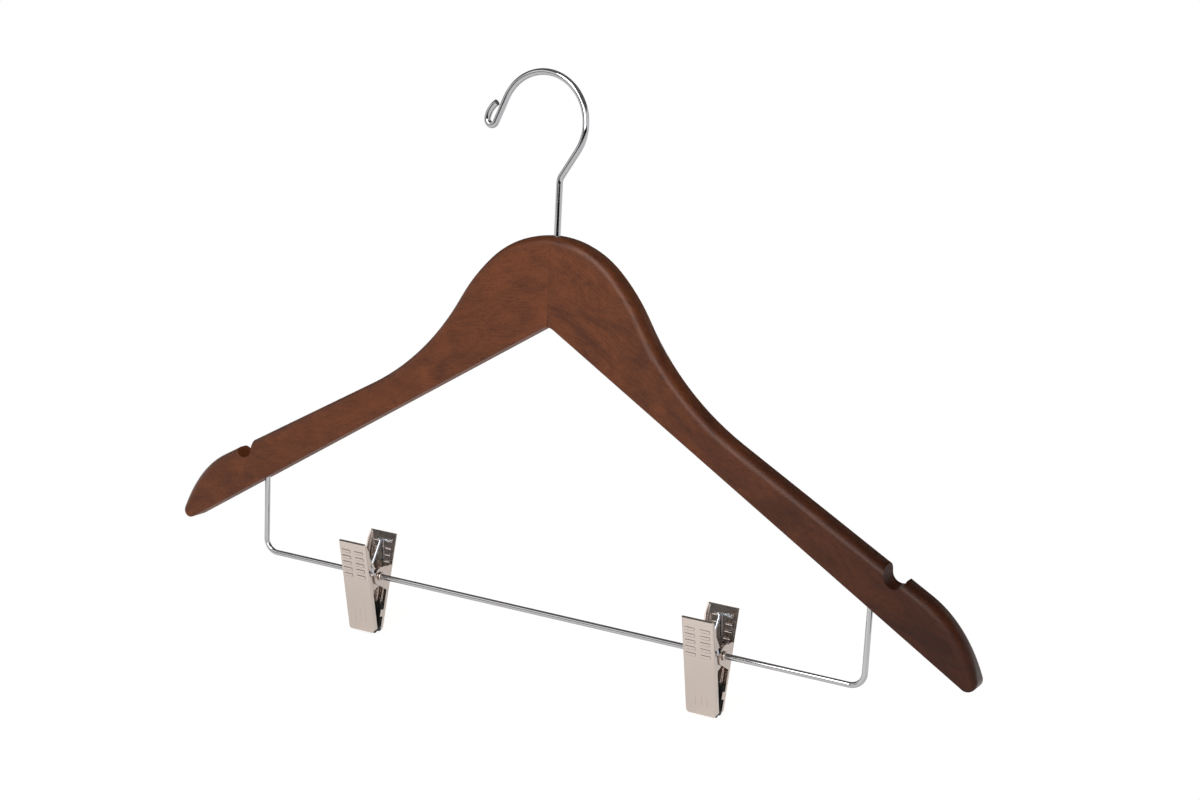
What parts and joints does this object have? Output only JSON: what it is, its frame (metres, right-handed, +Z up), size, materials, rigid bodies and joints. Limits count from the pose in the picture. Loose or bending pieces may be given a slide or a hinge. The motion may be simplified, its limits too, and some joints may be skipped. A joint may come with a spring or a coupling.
{
  "type": "skirt hanger",
  "caption": "Wooden hanger with two glued arms and strap notches, a swivel wire hook, and a wire bar under the arms that carries sliding sprung clips with padded jaws.",
  "frame": {"origin": "the point of the hook that rests on the rail: the inner top of its round bend", "axes": "+Z up; X along the arms and the bar; -Y the front, the side that the picture shows"},
  "size_m": [0.445, 0.0292, 0.2922],
  "materials": {
    "walnut": "satin lacquer, walnut stain",
    "chrome_wire": "bright plated wire",
    "clip_steel": "bright plated sheet steel",
    "spring_steel": "bright drawn wire",
    "zinc_steel": "zinc plated",
    "brass": "turned",
    "vinyl": "smooth black vinyl"
  },
  "bodies": {
    "hook": {"hook": "chrome_wire", "hook_washer": "zinc_steel", "hook_nut": "zinc_steel"},
    "hanger": {"left_arm": "walnut", "right_arm": "walnut", "hook_bush": "brass", "head_plug": "walnut", "drop_bar": "chrome_wire"},
    "left_slider": {"left_pivot_tube": "clip_steel"},
    "left_back": {"left_back_jaw": "clip_steel", "left_back_pad": "vinyl", "left_spring": "spring_steel"},
    "left_front": {"left_front_jaw": "clip_steel", "left_front_pad": "vinyl"},
    "right_slider": {"right_pivot_tube": "clip_steel"},
    "right_back": {"right_back_jaw": "clip_steel", "right_back_pad": "vinyl", "right_spring": "spring_steel"},
    "right_front": {"right_front_jaw": "clip_steel", "right_front_pad": "vinyl"}
  },
  "joints": [
    {"name": "hook_swivel", "type": "hinge", "parent": "hook", "child": "hanger", "pos_m": [0.0102, 0, -0.09], "axis": [0, 0, 1], "continuous": true},
    {"name": "left_clip_slide", "type": "slide", "parent": "hanger", "child": "left_slider", "axis": [1, 0, 0], "range_m": [-0.0481, 0.0919]},
    {"name": "left_clip_swing", "type": "hinge", "parent": "left_slider", "child": "left_back", "pos_m": [-0.0937, 0, -0.2589], "axis": [1, 0, 0], "continuous": true},
    {"name": "left_clip_open", "type": "hinge", "parent": "left_back", "child": "left_front", "pos_m": [-0.0937, 0, -0.2589], "axis": [-1, 0, 0], "range_deg": [0, 30], "stiffness_Nm_per_rad": 0.12, "springref_deg": -28.65, "deforming": ["left_spring"]},
    {"name": "right_clip_slide", "type": "slide", "parent": "hanger", "child": "right_slider", "axis": [1, 0, 0], "range_m": [-0.0799, 0.0601]},
    {"name": "right_clip_swing", "type": "hinge", "parent": "right_slider", "child": "right_back", "pos_m": [0.1021, 0, -0.2589], "axis": [1, 0, 0], "continuous": true},
    {"name": "right_clip_open", "type": "hinge", "parent": "right_back", "child": "right_front", "pos_m": [0.1021, 0, -0.2589], "axis": [-1, 0, 0], "range_deg": [0, 30], "stiffness_Nm_per_rad": 0.12, "springref_deg": -28.65, "deforming": ["right_spring"]}
  ]
}
